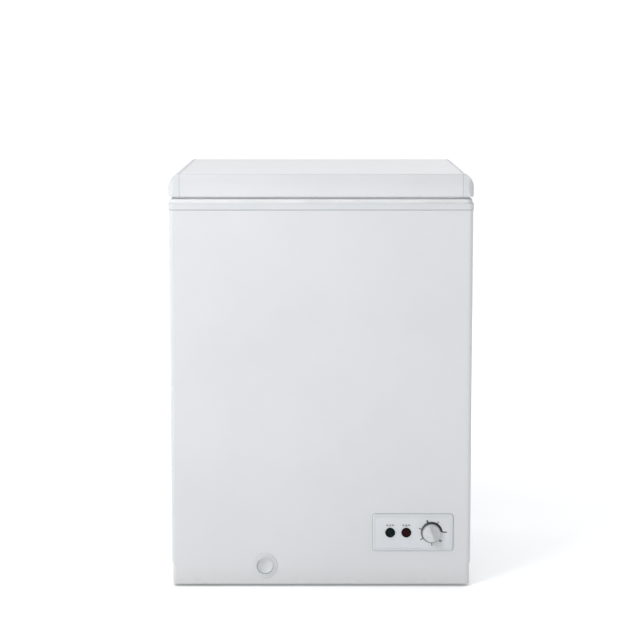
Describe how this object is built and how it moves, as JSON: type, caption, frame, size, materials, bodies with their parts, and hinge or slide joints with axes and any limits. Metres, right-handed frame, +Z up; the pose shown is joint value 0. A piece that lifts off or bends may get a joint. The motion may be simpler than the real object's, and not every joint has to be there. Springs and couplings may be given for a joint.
{
  "type": "chest freezer",
  "caption": "Small white chest freezer with a counterbalanced top lid, front controls, a front drain, a machine compartment and a sliding wire basket.",
  "frame": {"origin": "on the floor at the centre of the overall footprint", "axes": "+Z up, the front with the controls faces -Y, +X to the right of somebody facing the front"},
  "size_m": [0.614, 0.557, 0.8485],
  "materials": {
    "white_enamel": "white baked enamel on sheet steel, semi-gloss with a fine orange peel",
    "galvanised_steel": "zinc-coated sheet steel, satin",
    "white_plastic": "white moulded plastic, satin gloss",
    "liner_aluminium": "embossed aluminium sheet",
    "polyurethane_foam": "rigid closed-cell polyurethane foam, pale yellow",
    "inner_polystyrene": "thermoformed white polystyrene",
    "gasket_vinyl": "soft white vinyl extrusion",
    "black_plastic": "black moulded plastic with a fine grain",
    "rubber_black": "black rubber",
    "black_enamel": "black gloss paint on pressed steel",
    "cast_iron": "as-cast iron and laminated steel",
    "copper_tube": "drawn copper tube, dulled",
    "zinc_steel": "bright zinc-plated steel",
    "knob_silver": "silver-white moulded plastic",
    "green_lens": "dark green translucent plastic lens, unlit",
    "red_lens": "dark red translucent plastic lens, unlit",
    "coated_wire": "white vinyl-coated steel wire"
  },
  "bodies": {
    "cabinet": {"cabinet_wrapper": "white_enamel", "rear_panel": "galvanised_steel", "base_plate": "galvanised_steel", "compressor_bulkhead": "galvanised_steel", "machine_rear_cover": "galvanised_steel", "hinge_brackets": "galvanised_steel", "compressor_rails": "galvanised_steel", "top_collar": "white_plastic", "control_panel_bezel": "white_plastic", "side_vent_grille": "white_plastic", "drain_housing": "white_plastic", "drain_tube": "white_plastic", "inner_liner": "liner_aluminium", "cabinet_insulation": "polyurethane_foam", "feet": "black_plastic", "control_box": "black_plastic", "thermostat_body": "black_plastic", "lamp_holders": "black_plastic", "compressor_terminal_cover": "black_plastic", "cord_gland": "black_plastic", "compressor_grommets": "rubber_black", "wiring_harness": "rubber_black", "compressor_shell": "black_enamel", "compressor_motor": "cast_iron", "evaporator_coil": "copper_tube", "suction_pipe": "copper_tube", "discharge_pipe": "copper_tube", "capillary_tube": "copper_tube", "filter_drier": "copper_tube", "thermostat_sensor_tube": "copper_tube", "condenser_coil": "copper_tube", "compressor_bolts": "zinc_steel", "cover_screws": "zinc_steel", "hinge_bracket_screws": "zinc_steel", "hinge_pins": "zinc_steel", "hinge_springs": "zinc_steel", "power_lamp_lens": "green_lens", "alarm_lamp_lens": "red_lens"},
    "lid": {"lid_skin": "white_enamel", "lid_end_cap_left": "white_plastic", "lid_end_cap_right": "white_plastic", "lid_inner_panel": "inner_polystyrene", "lid_insulation": "polyurethane_foam", "lid_gasket": "gasket_vinyl", "hinge_arms": "galvanised_steel", "hinge_arm_screws": "zinc_steel"},
    "knob": {"knob_skirt": "knob_silver", "knob_cap": "knob_silver", "thermostat_shaft": "zinc_steel"},
    "drain_spout": {"drain_spout": "white_plastic"},
    "drain_cap": {"drain_cap": "white_plastic"},
    "liner_plug": {"liner_drain_plug": "white_plastic"},
    "basket": {"basket_rim": "coated_wire", "basket_front": "coated_wire", "basket_back": "coated_wire", "basket_left": "coated_wire", "basket_right": "coated_wire", "basket_floor": "coated_wire", "basket_grips": "white_plastic"}
  },
  "joints": [
    {"name": "lid_hinge", "type": "hinge", "parent": "cabinet", "child": "lid", "pos_m": [0, 0.271, 0.795], "axis": [-1, 0, 0], "range_deg": [0, 80]},
    {"name": "knob_turn", "type": "hinge", "parent": "cabinet", "child": "knob", "pos_m": [0.2255, -0.27, 0.114], "axis": [0, -1, 0], "range_deg": [-107, 209]},
    {"name": "drain_pull", "type": "slide", "parent": "cabinet", "child": "drain_spout", "axis": [0, -1, 0], "range_m": [0, 0.03]},
    {"name": "drain_cap_turn", "type": "hinge", "parent": "drain_spout", "child": "drain_cap", "pos_m": [-0.1147, -0.256, 0.044], "axis": [0, -1, 0], "range_deg": [0, 180]},
    {"name": "liner_plug_lift", "type": "slide", "parent": "cabinet", "child": "liner_plug", "axis": [0, 0, 1], "range_m": [0, 0.04]},
    {"name": "basket_slide", "type": "slide", "parent": "cabinet", "child": "basket", "axis": [1, 0, 0], "range_m": [-0.285, 0]}
  ]
}
